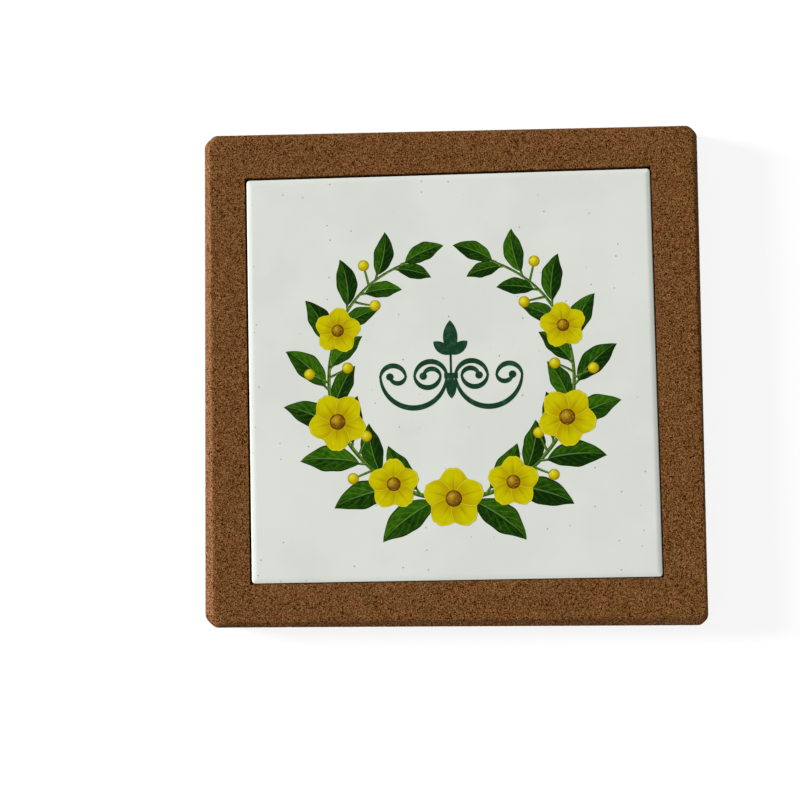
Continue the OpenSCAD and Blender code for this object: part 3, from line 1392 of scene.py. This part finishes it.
@dataclass(frozen=True)
class Wreath:
    """The painted wreath: two curved stems with leaves, berries and blossoms."""

    place: TilePlace
    face_z: float
    radius: float = 46.0
    gap: float = 46.0
    stem_w: Span = (1.68, 0.93)
    stem_grid: Grid = (90, 2)
    stem_sway: float = 0.004
    sway_rate: float = 17.0
    leaf: LeafForm = LeafForm()
    leaf_grid: Grid = (22, 8)
    leaf_count: int = 8
    leaf_lean: float = 42.0
    leaf_taper: float = 0.36
    leaf_laps: int = 4
    leaf_lap: float = 0.0015
    inner_leaf: float = 0.82
    outer_step: float = 0.3
    inner_step: float = 0.8
    light_from: Vector = Vector((-0.6, 0.8, 0)).freeze()
    twig_w: Span = (1.125, 0.72)
    twig_grid: Grid = (6, 2)
    twig_len: float = 2.6
    twig_under: float = 2.2
    petal: PetalForm = PetalForm()
    petal_grid: Grid = (14, 12)
    petal_count: int = 5
    petal_lap: float = 0.0025
    eye_r: float = 3.1
    eye_grid: Grid = (14, 14)
    berry_r: float = 2.1
    berry_grid: Grid = (12, 12)
    stalk_w: Span = (0.99, 0.675)
    stalk_grid: Grid = (8, 2)
    stalk_len: float = 8.0
    stalk_lean: float = 63.0
    stalk_sag: float = 0.6
    outer_berries: tuple[float, ...] = (0.26, 0.56, 0.885)
    inner_berries: tuple[float, ...] = (0.32, 0.575, 0.82)
    blossoms_at: tuple[float, ...] = (0.185, 0.44, 0.72)
    blossom_sizes: tuple[float, ...] = (0.84, 0.96, 0.76)
    blossom_turn: float = 0.31

    def build(self) -> None:
        """Paint the leaves, stems, petals, berries and eyes, and dress them."""
        settle(self.leaves(), LeafFinish().material(), ["leaf_print"])
        settle(self.stems(), StemFinish().material(), ["stem_print"])
        settle(self.petals(), PetalFinish().material(), ["petal_print"])
        settle(self.berries(), BERRY.material())
        settle(self.eyes(), EYE.material(), ["eye_print"])

    def brush(self) -> Brush:
        """Take a clean brush for one colour."""
        return Brush(self.place, self.face_z)

    def angle(self, share: float) -> float:
        """The angle round the wreath at a share of a side's length, in degrees."""
        return -90 + share * (180 - self.gap / 2)

    def point(self, share: float) -> Vector:
        """The place on the wreath's circle at a share of a side's length."""
        turn = math.radians(self.angle(share))
        return self.radius * Vector((math.cos(turn), math.sin(turn)))

    def stem_point(self, share: float) -> Vector:
        """The place on the main stem, which sways about the circle."""
        return self.point(share) * (1 + self.stem_sway * math.sin(share * self.sway_rate))

    def on_stem(self, share: float, lean: float, flip: float) -> Matrix:
        """Place something on the main stem.

        Args:
            share: Where on the side's length.
            lean: Its angle from the stem, in degrees.
            flip: 1 on the right side of the wreath and -1 on the left.

        Returns:
            The place, with X along the thing.
        """
        shift = Matrix.Translation(self.point(share).to_3d())
        turn = Matrix.Rotation(math.radians(self.angle(share) + 90 + lean), 4, "Z")
        return Matrix.Diagonal((flip, 1, 1, 1)) @ shift @ turn

    def leaf_places(self) -> Iterator[tuple[Matrix, float, int, float]]:
        """Go through the leaves.

        Yields:
            Each leaf's place, its size share, its number, and the side of the stem that
            it grows on, 1 inside and -1 outside.
        """
        number = 0
        for flip in (1, -1):
            for step in range(self.leaf_count):
                for side in (-1, 1):
                    start = self.inner_step if side > 0 else self.outer_step
                    share = (step + start) / self.leaf_count
                    size = 1 - self.leaf_taper * share
                    size *= self.inner_leaf if side > 0 else 1
                    number += 1
                    yield (self.on_stem(share, side * self.leaf_lean, flip), size,
                           number, side * flip)
            number += 1
            yield self.on_stem(1, 0, flip), 1 - self.leaf_taper, number, flip

    def leaves(self) -> Object:
        """Paint every leaf at the end of its twig.

        Returns:
            The leaves as one piece.
        """
        brush = self.brush()
        for place, size, number, side in self.leaf_places():
            turn = place.to_3x3()
            flip = 1 if turn.determinant() > 0 else -1
            towards = (turn @ Vector((0, 1, 0))).dot(self.light_from) * flip
            lit = 1 if towards > 0 else -1
            shift = Matrix.Translation((self.twig_len * size, 0, 0))
            brush.shape(self.leaf_grid, partial(self.leaf.outline, size, side * flip,
                                                number, lit * flip), place @ shift,
                        Layer.LEAF.value + self.leaf_lap * (number % self.leaf_laps),
                        scatter(number, Series.LEAF))
        return brush.finish("leaves_painted")

    def stems(self) -> Object:
        """Paint the two main stems, the leaves' twigs and the berries' stalks.

        Returns:
            All of them as one piece.
        """
        brush = self.brush()
        for flip in (1, -1):
            brush.shape(self.stem_grid, partial(strip, self.stem_point, self.stem_w),
                        Matrix.Diagonal((flip, 1, 1, 1)), Layer.STEM.value, tone=0.5)
        for place, size, number, _ in self.leaf_places():
            line = partial(bowed, (self.twig_len + self.twig_under) * size, 0.0)
            brush.shape(self.twig_grid, partial(strip, line, self.twig_w), place,
                        Layer.TWIG.value, scatter(number, Series.LEAF))
        for number, place in enumerate(self.berry_places()):
            sag = self.stalk_sag * (scatter(number, Series.SAG) - 0.5)
            line = partial(bowed, self.stalk_len, sag)
            brush.shape(self.stalk_grid, partial(strip, line, self.stalk_w), place,
                        Layer.STALK.value, scatter(number, Series.STALK))
        return brush.finish("stems_painted")

    def berry_places(self) -> Iterator[Matrix]:
        """Go through the berries.

        Yields:
            Each berry's place on the stem, with X towards the berry.
        """
        for flip in (1, -1):
            for side, shares in ((-1, self.outer_berries), (1, self.inner_berries)):
                for share in shares:
                    yield self.on_stem(share, side * self.stalk_lean, flip)

    def berries(self) -> Object:
        """Paint the berry at the end of each stalk.

        Returns:
            The berries as one piece.
        """
        brush = self.brush()
        for number, place in enumerate(self.berry_places()):
            middle = place @ Vector((self.stalk_len, 0, 0))
            brush.shape(self.berry_grid, partial(disc, self.berry_r),
                        Matrix.Translation(middle), Layer.BERRY.value,
                        scatter(number, Series.BERRY))
        return brush.finish("berries_painted")

    def blossoms(self) -> Iterator[tuple[Matrix, float]]:
        """Go through the blossoms.

        Yields:
            Each blossom's place and its size share.
        """
        yield Matrix.Translation((0, -self.radius, 0)), 1.0
        for flip in (1, -1):
            for number, share in enumerate(self.blossoms_at):
                turn = Matrix.Rotation(number * self.blossom_turn * math.tau, 4, "Z")
                shift = Matrix.Translation(self.point(share).to_3d())
                yield (Matrix.Diagonal((flip, 1, 1, 1)) @ shift @ turn,
                       self.blossom_sizes[number])

    def petals(self) -> Object:
        """Paint the lapped petals of each blossom.

        Returns:
            The petals as one piece.
        """
        brush = self.brush()
        number = 0
        for place, size in self.blossoms():
            for petal in range(self.petal_count):
                turn = math.radians(90 + petal * 360 / self.petal_count)
                number += 1
                brush.shape(self.petal_grid, partial(self.petal.outline, size),
                            place @ Matrix.Rotation(turn, 4, "Z"),
                            Layer.PETAL.value + self.petal_lap * petal,
                            scatter(number, Series.PETAL))
        return brush.finish("petals_painted")

    def eyes(self) -> Object:
        """Paint each blossom's eye.

        Returns:
            The eyes as one piece.
        """
        brush = self.brush()
        for number, (place, size) in enumerate(self.blossoms()):
            brush.shape(self.eye_grid, partial(disc, self.eye_r * size),
                        Matrix.Translation(place.to_translation()), Layer.EYE.value,
                        scatter(number, Series.EYE))
        return brush.finish("eyes_painted")


@dataclass(frozen=True)
class Studio:
    """The pale floor, the low window light, the soft surroundings and the camera.

    The floor's width, the lamp's distance and the clips are in metres.
    """

    sun_azimuth: float = 12.0
    sun_height: float = 17.0
    sun_size: float = 12.0
    sun_share: float = 0.6
    sun_away: float = 1.5
    ambient: float = 0.4
    floor_w: float = 4.0
    floor_down: float = 0.05
    floor_plain: Color = (0.62, 0.61, 0.59, 1.0)
    floor_lit: Color = (0.16, 0.16, 0.16, 1.0)
    floor_glow: Color = (0.86, 0.86, 0.86, 1.0)
    lens: float = 60.0
    sensor_w: float = 36.0
    clip_start: float = 0.01
    clip_end: float = 20.0
    camera_at: tuple[float, float, float] = (2.77, -39.3, 511.23)
    camera_to: tuple[float, float, float] = (-19.5, -9.02, 11.8)
    camera_up: tuple[float, float, float] = (0.0127, 0.9981, 0.06)

    def build(self) -> None:
        """Make the floor, the lights and the camera."""
        self.floor()
        self.sun()
        self.world()
        self.camera()

    def floor(self) -> None:
        """Lay a floor that looks white where it is lit and keeps a faint shadow."""
        mesh = bmesh.new()
        bmesh.ops.create_grid(mesh, x_segments=1, y_segments=1,
                              size=self.floor_w / 2 / MM)
        bmesh.ops.translate(mesh, verts=mesh.verts, vec=(0, 0, -self.floor_down))
        floor = stored(mesh, "floor", smooth=False)
        material = bpy.data.materials.new("pale_floor")
        material.use_nodes = True
        graph = Graph(material.node_tree, "OutputMaterial")
        plain = graph.wire("BsdfDiffuse", {"Color": self.floor_plain})
        lit = graph.wire("BsdfDiffuse", {"Color": self.floor_lit})
        glow = graph.wire("Emission", {"Color": self.floor_glow})
        both = graph.wire("AddShader", {0: glow, 1: lit})
        graph.show(graph.wire("MixShader", {0: graph.seen_ray(), 1: plain, 2: both}))
        dress(floor, material)

    def sun(self) -> None:
        """Hang the key light: low, from the left and a little from the top."""
        height = math.radians(self.sun_height)
        turn = math.radians(self.sun_azimuth)
        data = bpy.data.lights.new("window_light", "SUN")
        data.energy = self.sun_share * math.pi / math.sin(height)
        data.angle = math.radians(self.sun_size)
        lamp = bpy.data.objects.new("window_light", data)
        bpy.context.scene.collection.objects.link(lamp)
        towards = Vector((-math.cos(turn) * math.cos(height),
                          math.sin(turn) * math.cos(height), math.sin(height)))
        lamp.rotation_euler = towards.to_track_quat("Z", "Y").to_euler()
        lamp.location = towards * self.sun_away

    def world(self) -> None:
        """Surround the scene with soft light that looks white when it is seen."""
        world = bpy.data.worlds.new("soft_room")
        bpy.context.scene.world = world
        world.use_nodes = True
        graph = Graph(world.node_tree, "OutputWorld")
        soft = graph.wire("Background", {"Color": WHITE, "Strength": self.ambient})
        white = graph.wire("Background", {"Color": WHITE})
        graph.show(graph.wire("MixShader", {0: graph.seen_ray(), 1: soft, 2: white}))

    def camera(self) -> None:
        """Set the camera nearly straight above the tray."""
        data = bpy.data.cameras.new("camera")
        data.lens = self.lens
        data.sensor_width = self.sensor_w
        data.clip_start = self.clip_start
        data.clip_end = self.clip_end
        camera = bpy.data.objects.new("camera", data)
        bpy.context.scene.collection.objects.link(camera)
        back = (Vector(self.camera_at) - Vector(self.camera_to)).normalized()
        right = Vector(self.camera_up).cross(back).normalized()
        turn = Matrix((right, back.cross(right), back)).transposed().to_4x4()
        camera.matrix_world = Matrix.Translation(Vector(self.camera_at) * MM) @ turn
        bpy.context.scene.camera = camera


def main() -> None:
    """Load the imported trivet, dress it and light it."""
    logging.basicConfig(level=logging.INFO, format="%(name)s: %(message)s")
    bpy.context.scene.view_settings.view_transform = "Standard"
    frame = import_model()
    nodes: dict[str, Object] = frame["nodes"]
    Studio().build()
    place = TilePlace()
    CorkTray(place).build()
    tile = GlazedTile(place)
    tile.build(nodes["tile_body"])
    Wreath(place, tile.face_z).build()
    dress(nodes["ornament_print"], InkFinish().material())
    dress(nodes["tile_adhesive"], TILE_ADHESIVE.material())


if __name__ == "__main__":
    main()
